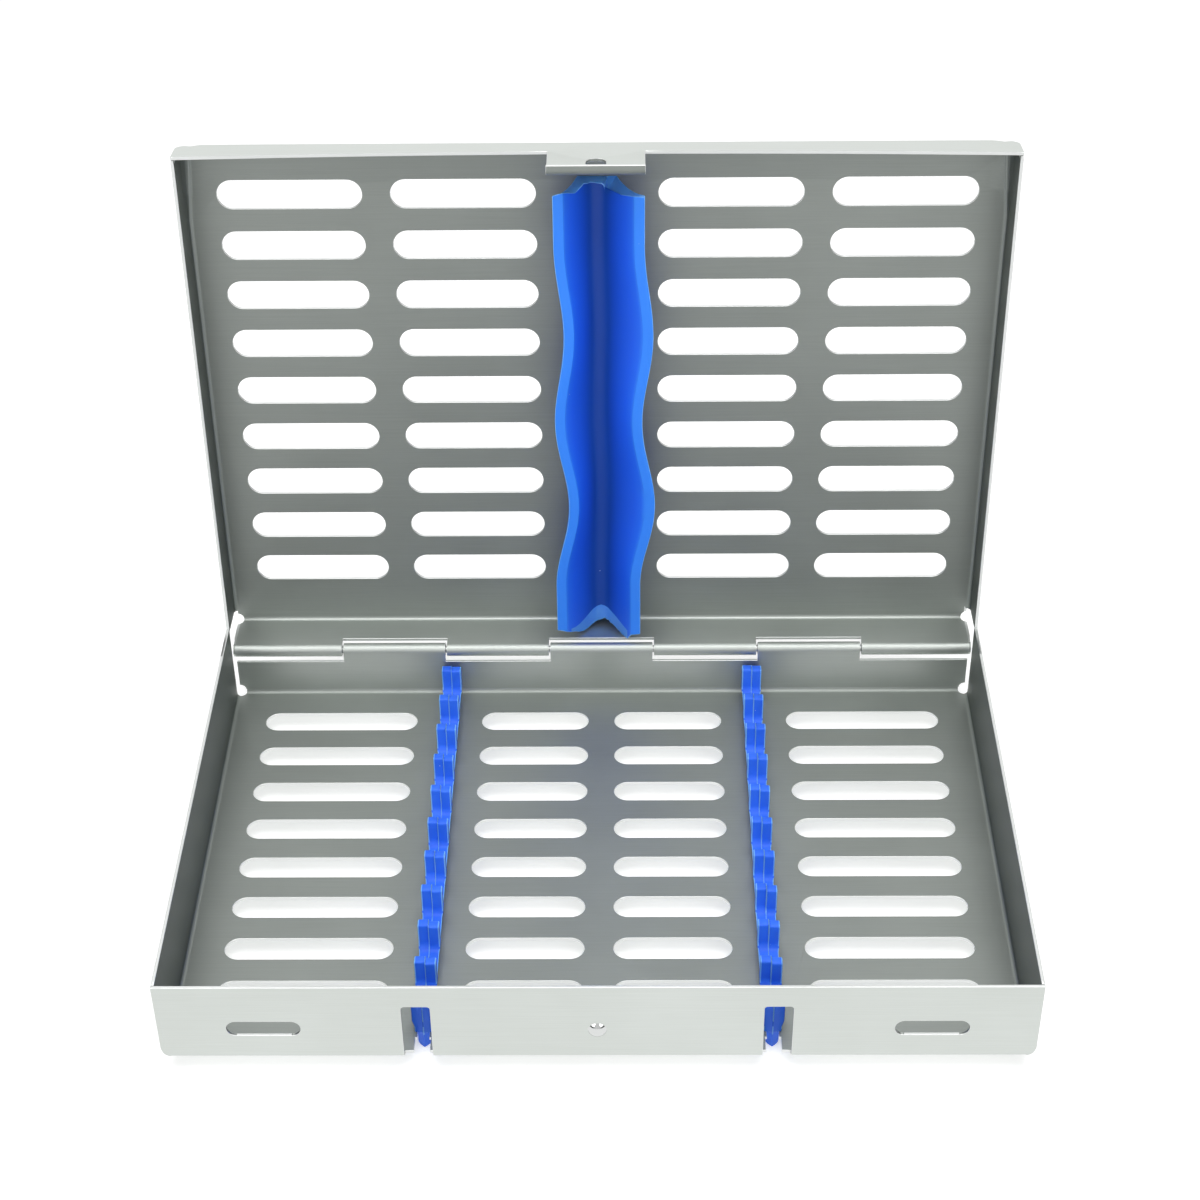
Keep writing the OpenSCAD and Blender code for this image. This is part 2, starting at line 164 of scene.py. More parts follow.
def spread(tree, source, low, high):
    """Maps a 0 to 1 value onto low to high."""
    return add(tree, "ShaderNodeMapRange", Value=source, To_Min=low, To_Max=high).outputs["Result"]


print("helpers ready, mid grey in linear light is", round(linear("#808080")[0], 3))

# %% [markdown]
# ## Stainless sheet
#
# The two shells are austenitic stainless steel sheet, 0.8 mm thick, cut, folded and then electropolished.
# That leaves a satin face: the light of the room comes back soft, with the faint lengthwise grain of the
# rolling mill, a slow cloudiness a few centimetres across where the acid bath worked unevenly, and a few
# hair scratches from use. The faces that look into the shell are rougher and a darker grey, and the side
# walls' inner faces are darker still, which is painted shade. The back wall and its rolled fingers are a
# lighter grey than the rest of the inside, which is painted light. The grain is really about 0.05 mm apart.
# It is drawn here at about 0.25 mm across and 20 mm long, because anything finer would be lost between the
# pixels.
#
# One finish could be one flat metal. The grain is worth having because it breaks up the reflections, and
# that is what tells the eye that this is rolled sheet and not plastic film.

# %% Stainless sheet material
def stainless_sheet(name, tone_dark, tone_light, rough_low, rough_high, grain_bump):
    """Satin sheet. Its tone and roughness each run between two values, and grain_bump is its relief."""
    material, tree = new_material(name)
    place = add(tree, "ShaderNodeTexCoord").outputs["Object"]
    # Grain: 20 mm along the hinge, 0.25 mm across
    stretched = add(tree, "ShaderNodeMapping", Vector=place, Scale=(1 / 0.020, 1 / 0.00025, 1 / 0.00025))
    grain = add(tree, "ShaderNodeTexNoise", Vector=stretched.outputs[0], Scale=1.0, Detail=2.0, Roughness=0.6)
    # Clouds: about 30 mm across
    clouds = add(tree, "ShaderNodeTexNoise", Vector=place, Scale=1 / 0.030, Detail=3.0, Roughness=0.55)
    # Hair scratches: thin lines that only the tops of a stretched noise leave
    lean = add(tree, "ShaderNodeMapping", Vector=place, Rotation=(0.0, 0.3, 0.6),
               Scale=(1 / 0.012, 1 / 0.0006, 1 / 0.0006))
    hairs = add(tree, "ShaderNodeTexNoise", Vector=lean.outputs[0], Scale=1.0, Detail=0.0)
    hair_lines = add(tree, "ShaderNodeMapRange", Value=hairs.outputs["Fac"], From_Min=0.72, From_Max=0.80)
    mixed = add(tree, "ShaderNodeMath", {"operation": "MULTIPLY_ADD"}, _0=grain.outputs["Fac"], _1=0.45,
                _2=add(tree, "ShaderNodeMath", {"operation": "MULTIPLY"},
                       _0=clouds.outputs["Fac"], _1=0.55).outputs[0])
    tone = ramp(tree, mixed.outputs[0], [(0.30, tone_dark), (0.70, tone_light)])
    rough = spread(tree, mixed.outputs[0], rough_low, rough_high)
    height = add(tree, "ShaderNodeMath", {"operation": "MULTIPLY_ADD"}, _0=hair_lines.outputs[0], _1=-0.5,
                 _2=grain.outputs["Fac"])
    # Electropolished grain is a fraction of a micron deep; 2 microns is what still shows at this distance
    bump = add(tree, "ShaderNodeBump", Strength=grain_bump, Distance=0.000002, Height=height.outputs[0])
    shader = add(tree, "ShaderNodeBsdfPrincipled", Base_Color=tone, Metallic=1.0, Roughness=rough,
                 Normal=bump.outputs[0])
    close_material(tree, shader)
    return material


sheet_steel = stainless_sheet("stainless_sheet_electropolished", "#d3d8d3", "#dce1dd", 0.28, 0.38, 0.5)
# Darker grey and rougher than the outside, for the faces that look into the shell
inside_steel = stainless_sheet("stainless_sheet_satin_inside", "#979c98", "#a2a7a3", 0.50, 0.60, 0.5)
# Painted shade: a darker copy of the inside finish for the side walls' inner faces
side_wall_shade_steel = stainless_sheet("stainless_sheet_side_wall_painted_shade", "#767b77", "#818682", 0.50, 0.60, 0.5)
# Painted highlight: a lighter finish for the cut faces and the rounds of the sheet's edges
cut_edge_highlight_steel = stainless_sheet("stainless_sheet_cut_edge_painted_highlight", "#e2e5e3", "#f0f2f1", 0.34, 0.46, 0.2)
# Painted light: a lighter copy of the inside finish for the back wall and its knuckles
hinge_light_steel = stainless_sheet("stainless_sheet_hinge_painted_light", "#babfbb", "#c4c9c5", 0.44, 0.54, 0.5)
# In this order on each shell's mesh
steels = [sheet_steel, cut_edge_highlight_steel, inside_steel, hinge_light_steel, side_wall_shade_steel]
OUTSIDE, CUT_EDGE, INSIDE, HINGE_LIT, SIDE_SHADE = range(len(steels))
print([steel.name for steel in steels])

# %% [markdown]
# ## Drawn wire and polished stud
#
# The hinge wire is cold drawn: it was pulled through a round die, which leaves fine lines along its length.
# The stud is pressed and then tumbled with steel shot until it is close to a mirror, so it shows the room
# in stripes.

# %% Wire and stud materials
def drawn_metal(name, colour, roughness, line_gap, bump):
    """Bright stainless steel with fine drawing lines, line_gap metres apart round the piece."""
    material, tree = new_material(name)
    place = add(tree, "ShaderNodeTexCoord").outputs["Object"]
    # The lines are 10 mm long and line_gap apart
    drawn = add(tree, "ShaderNodeMapping", Vector=place, Scale=(1 / 0.010, 1 / line_gap, 1 / line_gap))
    lines = add(tree, "ShaderNodeTexNoise", Vector=drawn.outputs[0], Scale=1.0, Detail=2.0)
    dents = add(tree, "ShaderNodeTexNoise", Vector=place, Scale=1 / 0.0015, Detail=1.0)
    rough = spread(tree, dents.outputs["Fac"], roughness * 0.7, roughness * 1.3)
    relief = add(tree, "ShaderNodeBump", Strength=bump, Distance=0.000004, Height=lines.outputs["Fac"])
    shader = add(tree, "ShaderNodeBsdfPrincipled", Base_Color=linear(colour), Metallic=1.0, Roughness=rough,
                 Normal=relief.outputs[0])
    close_material(tree, shader)
    return material


drawn_wire = drawn_metal("stainless_wire_drawn", "#c9ccca", 0.30, 0.00015, 0.5)
mirror_steel = drawn_metal("stainless_rivet_polished", "#dfe1e0", 0.09, 0.0006, 0.25)

# %% [markdown]
# ## Silicone rubber
#
# The strips are moulded silicone, pigmented through. It is soft and slightly see-through, and its skin is
# satin like the mould that made it. Thin lips and flash lines glow lighter than the thick middle: a little
# subsurface scattering, about a millimetre deep, gives part of that glow, and a lighter blue on the rounded
# edges, lips and flash lines is painted light. The cut faces get a lighter blue as well, painted light, and
# the trough in the lid is painted darker towards its bottom, painted shade. Silicone also holds dust: a few
# pale specks sit on it.

# %% Silicone material
# Painted shade darkens the bottom of the trough (0), and painted light brightens its lips (1)
TROUGH_TONES = [(0.20, "#0f449f"), (0.34, "#1148ab"), (0.46, "#1550c6"), (0.62, "#185ade"), (0.80, "#1c63f0"),
                (0.92, "#2270fa"), (0.985, "#3389ff")]


def silicone_rubber(name, tones, glow, by_lip=False):
    """Silicone whose tones follow pigment clouds about 8 mm across, or the mesh's attribute named lip."""
    material, tree = new_material(name)
    place = add(tree, "ShaderNodeTexCoord").outputs["Object"]
    if by_lip:
        # The lip attribute runs from the trough's bottom to its lips and carries painted shade and painted
        # light
        level = add(tree, "ShaderNodeAttribute", {"attribute_name": "lip"})
    else:
        level = add(tree, "ShaderNodeTexNoise", Vector=place, Scale=1 / 0.008, Detail=2.0)
    tone = ramp(tree, level.outputs["Fac"], tones)
    # Dust: specks of 0.15 mm, only in a few of the cells
    cells = add(tree, "ShaderNodeTexVoronoi", {"feature": "F1"}, Vector=place, Scale=1 / 0.0035)
    speck = add(tree, "ShaderNodeMapRange", Value=cells.outputs["Distance"], From_Min=0.030, From_Max=0.045,
                To_Min=0.8, To_Max=0.0)
    few = add(tree, "ShaderNodeMath", {"operation": "GREATER_THAN"}, _1=0.86,
              _0=add(tree, "ShaderNodeSeparateColor", _0=cells.outputs["Color"]).outputs[0])
    dust = add(tree, "ShaderNodeMath", {"operation": "MULTIPLY"}, _0=speck.outputs[0], _1=few.outputs[0])
    dusty = add(tree, "ShaderNodeMix", {"data_type": "RGBA"}, _0=dust.outputs[0], _6=tone,
                _7=linear("#a9c4ea"))
    # Mould skin: fine spark-eroded grain, 0.12 mm across
    skin = add(tree, "ShaderNodeTexNoise", Vector=place, Scale=1 / 0.00012, Detail=1.0)
    relief = add(tree, "ShaderNodeBump", Strength=0.3, Distance=0.00001, Height=skin.outputs["Fac"])
    shader = add(tree, "ShaderNodeBsdfPrincipled", Base_Color=dusty.outputs[2], Roughness=0.5, IOR=1.41,
                 Subsurface_Weight=glow, Subsurface_Radius=(0.3, 0.6, 1.0), Subsurface_Scale=0.001,
                 Normal=relief.outputs[0])
    close_material(tree, shader)
    return material


silicone = silicone_rubber("silicone_rubber_moulded", [(0.35, "#2667ec"), (0.65, "#2f70f4")], 0.15)
# Painted shade at the trough's bottom, painted light at its lips
silicone_trough_shaded = silicone_rubber("silicone_rubber_trough_painted_shade", TROUGH_TONES, 0.15, by_lip=True)
# Painted light: a lighter blue for rounded edges, lips and flash lines
silicone_edge_lit = silicone_rubber("silicone_rubber_edge_painted_light", [(0.35, "#6cabfa"), (0.65, "#7db8fc")], 0.30)
# Painted light: a lighter blue for the cut faces
silicone_cut_lit = silicone_rubber("silicone_rubber_cut_face_painted_light", [(0.35, "#4b90e8"), (0.65, "#5a9cee")], 0.60)
# In this order on each strip's mesh
BODY, LIT_EDGE, CUT_FACE = range(3)
print(silicone.name, silicone_trough_shaded.name, silicone_edge_lit.name, silicone_cut_lit.name)

# %% [markdown]
# ## Two folded shells
#
# The tray and the lid are each one sheet: the maker cuts a flat blank with all its slots, folds up the
# walls and rolls the fingers at the back round a wire. The CAD shapes are exact, but their edges are
# perfectly sharp, and no cut edge of real sheet is. Electropolishing eats edges first and leaves a tiny
# round, and that round catches a bright line of light round every slot. The cut faces and the rounds also
# get a lighter finish, which is painted highlight.
#
# The shell could be modelled again from a flat blank. A copy of the CAD shape is used here because it is
# already right: its loose triangles are welded, flat areas are joined up, and its sharp edges are rounded
# by a bevel, except where cuts meet too closely for a round.
#
# Three small things set a real lid apart from the drawing, and each gets a short function. The leaves come
# up close to the knuckles opposite them, the long front flange springs open, and the two outer corners are
# filed round. The corners may only be rounded above the tray's walls, which stand close inside them when
# the lid is closed.

# %% Copy a CAD shell and round its edges
# The sheet is 0.8 mm thick, and a face narrower than this is a cut edge of it
cut_width = 0.86 * mm


def rounded_copy(node_name, edge_round, rows, across, half_width):
    """A welded copy of a CAD sheet whose sharp edges are rounded. Planes through the rows of slots, facing
    across, part the large faces, which leaves none with a hole in it. Two more planes part them from the
    folds at the sides."""
    bm = bmesh.new()
    bm.from_mesh(frame["nodes"][node_name].data)
    bmesh.ops.remove_doubles(bm, verts=bm.verts, dist=0.02 * mm)
    bmesh.ops.dissolve_limit(bm, angle_limit=math.radians(0.6), verts=bm.verts, edges=bm.edges)
    planes = [(row, across) for row in rows] + [((x, 0, 0), (1, 0, 0)) for x in (-half_width, half_width)]
    for point, direction in planes:
        bmesh.ops.bisect_plane(bm, geom=bm.verts[:] + bm.edges[:] + bm.faces[:], dist=0.002 * mm,
                               plane_co=point, plane_no=direction)
    exact = BVHTree.FromBMesh(bm)
    sharp = {e for e in bm.edges if e.is_manifold and e.calc_face_angle() > math.radians(40)}
    roomy = []
    for edge in bm.edges:
        spot = ((edge.verts[0].co + edge.verts[1].co) / 2 - hinge_at) / mm
        # At the relief holes, and where a comb's slot ends beside the fold, cuts meet too closely for a round
        relief_hole = abs(spot.x) > 96.5 and spot.yz.length < 17
        slot_end = spot.z < -12.9 and spot.y > -3.4
        if edge in sharp and not relief_hole and not slot_end:
            roomy.append(edge)
    # Narrow cut faces get the lighter cut-edge finish, which is painted highlight
    for face in bm.faces:
        lengths = [e.calc_length() for e in face.edges]
        cut = sum(e.calc_length() for e in face.edges if e in sharp)
        narrow = face.calc_area() / max(lengths) < cut_width
        face.material_index = CUT_EDGE if narrow and cut > 0.4 * sum(lengths) else OUTSIDE
    rounded = bmesh.ops.bevel(bm, geom=roomy, offset=edge_round, offset_type="OFFSET", affect="EDGES",
                              segments=2, profile=0.5, material=-1, clamp_overlap=False)
    # The rounds get the lighter cut-edge finish too, which is painted highlight
    for face in rounded["faces"]:
        face.material_index = CUT_EDGE
    # Where two cuts meet in less than the round's width, its points stray: they go back onto the sheet
    strays = 0
    for vert in bm.verts:
        on_sheet, _, _, distance = exact.find_nearest(vert.co)
        if distance > 0.07 * mm:
            vert.co = on_sheet
            strays += 1
    print(node_name, "has", len(roomy), "edges rounded, now", len(bm.faces), "faces,", strays,
          "points put back,", round(bm.calc_volume() * 1e9), "mm3")
    return bm


# %% Tell the inside of a shell from its outside
def dull_and_shade_inside(bm, middle):
    """Gives their finish to the back wall with its knuckles, a lighter grey that is painted light, and to the
    faces that look towards a point in the middle of the shell, a darker grey, with painted shade on the side
    walls. The front of the tab's finger lip gets that darker inside grey too, as painted shade."""
    for face in bm.faces:
        centre = face.calc_center_median()
        spot = (centre - hinge_at) / mm
        lip_front = spot.z > 140.5 and spot.y < -2.6 and face.normal.y < -0.3
        back_wall = spot.yz.length < 12.6 and abs(spot.x) < 100.5
        side_wall = abs(face.normal.x) > 0.8 and abs(spot.x) > 99
        if face.material_index != OUTSIDE:
            continue
        # The lip's front takes the darker inside grey, which is painted shade
        if lip_front:
            face.material_index = INSIDE
        # The back wall and its knuckles get a lighter copy of the inside finish, which is painted light
        elif back_wall:
            face.material_index = HINGE_LIT
        # Faces that look into the shell get the darker inside finish, and the side walls' inner faces a
        # darker copy of it, which is painted shade
        elif face.normal.dot(middle - centre) > 0:
            face.material_index = SIDE_SHADE if side_wall else INSIDE


# %% Fit the leaves, the flange and the corners
def trim_gaps(bm, toward):
    """Moves the edge of each leaf that faces the other leaf's knuckles 0.9 mm up (1) or down (-1), towards
    the hinge axis. The leaf is the wall between 1.8 and 1.0 mm in front of the axis."""
    leaf_edge = 3.65
    for vert in bm.verts:
        spot = (vert.co - hinge_at) / mm
        if -1.95 < spot.y < -0.85 and abs(spot.z + toward * leaf_edge) < 0.3:
            vert.co.z += toward * 0.9 * mm


def part_near(bm, is_near, point, direction):
    """Parts those faces by a plane, whose point is in mm, for whose middle is_near is true."""
    near = set()
    for face in bm.faces:
        if is_near((face.calc_center_median() - hinge_at) / mm):
            near.update([face, *face.edges, *face.verts])
    bmesh.ops.bisect_plane(bm, geom=list(near), dist=0.002 * mm, plane_co=[c * mm for c in point],
                           plane_no=direction)


def spring_flange(bm):
    """A long narrow flange never comes out of the press quite square: it springs open by up to 1.8 mm, most
    in the middle of its length, and takes the tab along, which is bent back a little."""
    swing_closed(bm)
    front_inside, fold_depth, edge_depth, tab_end = 141.2, 0.6, 10.6, 23.6
    for x in range(-80, 81, 20):
        part_near(bm, lambda spot: -spot.y > front_inside, (x, 0, 0), (1, 0, 0))
    for vert in bm.verts:
        spot = (vert.co - hinge_at) / mm
        u, depth = -spot.y, lid_inside - spot.z
        if u > front_inside and depth > fold_depth:
            opened = min(1.0, (depth - fold_depth) / (edge_depth - fold_depth))
            bent_back = 0.45 * max(0.0, (depth - edge_depth) / (tab_end - edge_depth))
            vert.co.y -= (opened * (1.8 - 0.9 * (spot.x / 100) ** 2) - bent_back) * mm
    swing_open(bm)


def dress_corners(bm):
    """The two outer corners of the closed lid are dressed with a file, far rounder than the folds beside
    them. The square corner is cut into narrow facets, and these are moved onto a round that fades towards
    the hinge."""
    half_width, lid_top = 103.6, lid_inside + 0.8
    reach, drop = 7.5, 5.0  # how far the round goes in along the front, and down
    faded, full = 122.0, 141.0  # where it has faded and where it is whole, from the hinge axis
    cuts = [((x * side, 0, 0), (1, 0, 0)) for side in (-1, 1) for x in (97.3, 98.9, 100.3, 101.6, 102.5)]
    cuts += [((0, 0, hinge_at.z / mm + lid_inside - depth), (0, 0, 1)) for depth in (0.3, 1.0, 1.9, 2.9, 3.9)]
    cuts += [((0, hinge_at.y / mm - u, 0), (0, 1, 0)) for u in (faded, 129.5, 135.5)]
    for point, direction in cuts:
        part_near(bm, lambda spot: abs(spot.x) > 96 and -spot.y > faded - 8
                  or -spot.y > full - 4 and abs(spot.x) > 40, point, direction)
    for vert in bm.verts:
        spot = (vert.co - hinge_at) / mm
        across = (abs(spot.x) - (half_width - reach)) / reach
        up = (spot.z - (lid_top - drop)) / drop
        weight = min(1.0, max(0.0, (-spot.y - faded) / (full - faded)))
        if across > 0 and up > 0 and weight > 0:
            onto_round = max(across, up) / math.hypot(across, up) - 1
            vert.co.x += math.copysign(across * reach * mm, spot.x) * onto_round * weight
            vert.co.z += up * onto_round * weight * drop * mm


# %% Make the tray and the lid
def weigh_normals(piece):
    """Keeps the large flat faces flat while the small rounds at their edges shade softly."""
    weighted = piece.modifiers.new("weighted_normals", "WEIGHTED_NORMAL")
    weighted.mode = "FACE_AREA"
    weighted.weight = 60
    weighted.keep_sharp = True


# The inside of the closed lid lies this far over the hinge axis
lid_inside = 12.7
edge_round = 0.11 * mm
# The rows of slots, and one more line beside the fold at each end
floor_u = [3.6] + [15.35 + 14.9 * row for row in range(8)] + [138.6]
floor_rows = [hinge_at + Vector((0, -u, 0)) * mm for u in floor_u]
tray_bm = rounded_copy("base_tray", edge_round, floor_rows, Vector((0, 1, 0)), 100.1 * mm)
dull_and_shade_inside(tray_bm, hinge_at + Vector((0, -70, 0)) * mm)
trim_gaps(tray_bm, 1)
tray = finish_piece(tray_bm, "tray_shell", "base", steels, ["base_tray"])
up_the_lid = Matrix.Rotation(-lid_angle, 3, "X") @ Vector((0, -1, 0))
lid_u = [3.5] + [19.0 + 13.7 * row for row in range(9)] + [139.7]
lid_rows = [hinge_at + up_the_lid * u * mm for u in lid_u]
lid_bm = rounded_copy("lid", edge_round, lid_rows, up_the_lid, 101.2 * mm)
dull_and_shade_inside(lid_bm, hinge_at + Vector((0, -5, 60)) * mm)
spring_flange(lid_bm)
swing_closed(lid_bm)
trim_gaps(lid_bm, -1)
dress_corners(lid_bm)
swing_open(lid_bm)
lid = finish_piece(lid_bm, "lid_shell", "lid", steels, ["lid"])
for shell in (tray, lid):
    weigh_normals(shell)

# %% [markdown]
# ## Hinge wire and latch stud
#
# The hinge turns on one piece of drawn wire, and the latch tab snaps over a polished domed rivet. Both are
# turned shapes: a lathe or a rivet set leaves them round about one axis. So each is drawn as half a profile
# and spun, which is how they would be sketched on paper, and which puts a small round exactly where the
# tool left it.

# %% Spin a profile about a line
def turned(profile, at, along, steps=64):
    """Spins (radius, distance along) points, in mm, about a line through a point."""
    bm = bmesh.new()
    points = [bm.verts.new((radius * mm, 0.0, distance * mm)) for radius, distance in profile]
    edges = [bm.edges.new(pair) for pair in zip(points, points[1:])]
    bmesh.ops.spin(bm, geom=points + edges, cent=(0, 0, 0), axis=(0, 0, 1), dvec=(0, 0, 0), angle=math.tau,
                   steps=steps, use_merge=True)
    bmesh.ops.remove_doubles(bm, verts=bm.verts, dist=0.002 * mm)
    bmesh.ops.recalc_face_normals(bm, faces=bm.faces)
    turn = Vector((0, 0, 1)).rotation_difference(Vector(along)).to_matrix()
    bmesh.ops.rotate(bm, cent=(0, 0, 0), matrix=turn, verts=bm.verts)
    bmesh.ops.translate(bm, vec=at, verts=bm.verts)
    return bm


# The wire's ends are cropped and then rolled a little round
wire_low, wire_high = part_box("hinge_pin")
wire_len = (wire_high[0] - wire_low[0]) / mm
wire_r = (wire_high[1] - wire_low[1]) / 2 / mm
crop = 0.3
finish_piece(
    turned([(0, 0), (wire_r - crop, 0), (wire_r - 0.08, 0.1), (wire_r, crop), (wire_r, wire_len - crop),
            (wire_r - 0.08, wire_len - 0.1), (wire_r - crop, wire_len), (0, wire_len)],
           (wire_low[0], hinge_at.y, hinge_at.z), (1, 0, 0), 32),
    "hinge_wire", "lid", [drawn_wire], ["hinge_pin"], 30)

# The dome of the stud, its shank through the wall and the riveted tail inside
stud_low, stud_high = (Vector(corner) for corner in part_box("latch_stud"))
stud_r = (stud_high.x - stud_low.x) / 2 / mm
stud_len = (stud_high.y - stud_low.y) / mm
# The dome is 1 mm high, and its round leans back by 52 degrees at the rim
dome = [(stud_r * math.sin(math.radians(a)) / math.sin(math.radians(52)),
         (1 - math.cos(math.radians(a))) / (1 - math.cos(math.radians(52)))) for a in range(0, 53, 4)]
stud_profile = [(0, stud_len), (1.5, stud_len), (1.85, stud_len - 0.1), (2.0, stud_len - 0.35),
                (2.0, stud_len - 0.6), (1.2, stud_len - 0.6), (1.2, 1.0), (stud_r - 0.06, 1.0)] + dome[::-1]
finish_piece(turned(stud_profile, (0, stud_low.y, (stud_low.z + stud_high.z) / 2), (0, 1, 0)),
             "latch_stud_domed", "base", [mirror_steel], ["latch_stud"], 40)

# %% [markdown]
# ## Silicone combs in the base
#
# Each comb is one moulding of silicone rubber, about as hard as a pencil eraser. Its mould has two halves
# that meet along the middle of the comb, and on this one they don't meet well: the right half of every
# tooth stands a little further forward than the left, and a thin line of flash has crept out between them
# and stands up in a tiny spike on the tooth's top. Under the floor hangs the bead that holds the comb in
# its slot.
#
# The comb could be a row of beveled cubes. It is drawn the way the mould maker cuts it: as one side view with
# round corners, pulled sideways in steps, and the steps at the middle make the misfit and the flash line.

# %% Side view of a comb, as one flat face
comb_at = {side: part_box("base_strip_" + side) for side in ("left", "right")}
comb_y0, comb_y1 = comb_at["left"][0][1], comb_at["left"][1][1]
comb_top = comb_at["left"][1][2]
tooth, pitch, notches = 2.6 * mm, 12.7 * mm, 10
comb_floor = comb_top - 10.2 * mm  # the comb's underside, which stands on the tray's floor
notch_bottom = comb_floor + 3.0 * mm
comb_half = 2.65 * mm
near = 0.01 * mm


def part_all(bm, point, direction):
    """Parts every face that a plane crosses."""
    bmesh.ops.bisect_plane(bm, geom=bm.verts[:] + bm.edges[:] + bm.faces[:], plane_co=point,
                           plane_no=direction)


def comb_side_view(bm):
    """One face in the plane x = 0: a low back with eleven teeth, its corners rounded."""
    bmesh.ops.create_grid(bm, x_segments=1, y_segments=1, size=0.5)
    bmesh.ops.scale(bm, vec=(comb_y1 - comb_y0, comb_top - comb_floor, 1), verts=bm.verts)
    bmesh.ops.rotate(bm, cent=(0, 0, 0), matrix=Matrix.Rotation(math.pi / 2, 3, "X"), verts=bm.verts)
    bmesh.ops.rotate(bm, cent=(0, 0, 0), matrix=Matrix.Rotation(math.pi / 2, 3, "Z"), verts=bm.verts)
    bmesh.ops.translate(bm, vec=(0, (comb_y0 + comb_y1) / 2, (comb_floor + comb_top) / 2), verts=bm.verts)
    cuts = [((0, 0, notch_bottom), (0, 0, 1))]
    for i in range(notches):
        cuts += [((0, comb_y0 + y, 0), (0, 1, 0)) for y in (i * pitch + tooth, (i + 1) * pitch)]
    for point, direction in cuts:
        part_all(bm, point, direction)
    gaps = [f for f in bm.faces if f.calc_center_median().z > notch_bottom
            and (f.calc_center_median().y - comb_y0) % pitch > tooth]
    bmesh.ops.delete(bm, geom=gaps, context="FACES")
    bmesh.ops.dissolve_faces(bm, faces=bm.faces, use_verts=False)
    straight = []
    for vert in bm.verts:
        arms = [e.other_vert(vert).co - vert.co for e in vert.link_edges]
        if vert.co.z < notch_bottom - near or len(arms) == 2 and abs(arms[0].angle(arms[1]) - math.pi) < 0.01:
            straight.append(vert)
    bmesh.ops.dissolve_verts(bm, verts=[v for v in straight if comb_y0 + near < v.co.y < comb_y1 - near
                                        or v.co.z > comb_floor + near])
    # The bottoms of the notches are 2 mm round, and the teeth's tops half a millimetre
    for level, radius, segments in ((notch_bottom, 2.0, 5), (comb_top, 0.55, 3)):
        corners = [v for v in bm.verts if abs(v.co.z - level) < near]
        bmesh.ops.bevel(bm, geom=corners, offset=radius * mm, offset_type="OFFSET", affect="VERTICES",
                        segments=segments, profile=0.5, material=-1, clamp_overlap=True)
    print("side view of a comb:", len(bm.faces), "face with", len(bm.verts), "corners")


# %% Pull the side view sideways
def pull(bm, faces, vec):
    """Extrudes faces and moves them. Gives back the moved faces and points."""
    out = bmesh.ops.extrude_face_region(bm, geom=faces)["geom"]
    verts = [g for g in out if isinstance(g, bmesh.types.BMVert)]
    bmesh.ops.translate(bm, vec=vec, verts=verts)
    return [g for g in out if isinstance(g, bmesh.types.BMFace)], verts


def tooth_of(vert):
    """The number of the nearest tooth, and how far the point lies behind that tooth's front."""
    along = vert.co.y - comb_y0
    which = min(notches, max(0, round((along - tooth / 2) / pitch)))
    return which, along - which * pitch


